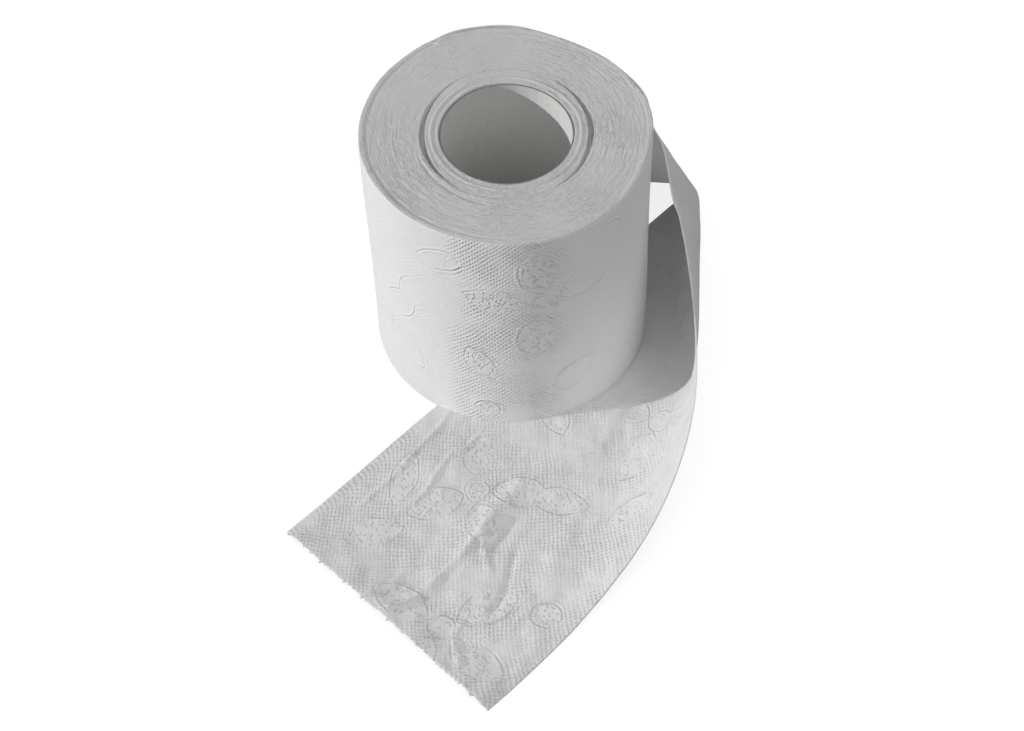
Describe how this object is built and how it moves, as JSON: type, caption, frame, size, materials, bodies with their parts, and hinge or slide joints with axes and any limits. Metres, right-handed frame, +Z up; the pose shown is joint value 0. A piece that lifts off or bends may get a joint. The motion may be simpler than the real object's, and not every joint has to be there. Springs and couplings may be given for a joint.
{
  "type": "toilet paper roll",
  "caption": "Embossed tissue roll standing on end, with a cardboard core and a free end that folds round behind it and runs out under it to a torn edge.",
  "frame": {"origin": "on the roll's axis, at the floor that the free end lies on, 0.9 mm under the core's lower mouth", "axes": "+Z up along the roll's axis; the torn end of the sheet lies towards -Y"},
  "size_m": [0.1503, 0.2344, 0.099],
  "materials": {
    "tissue": "soft matte, embossed",
    "core_board": "matte"
  },
  "bodies": {
    "root": {"paper_roll": "tissue", "cardboard_core": "core_board"}
  },
  "joints": []
}
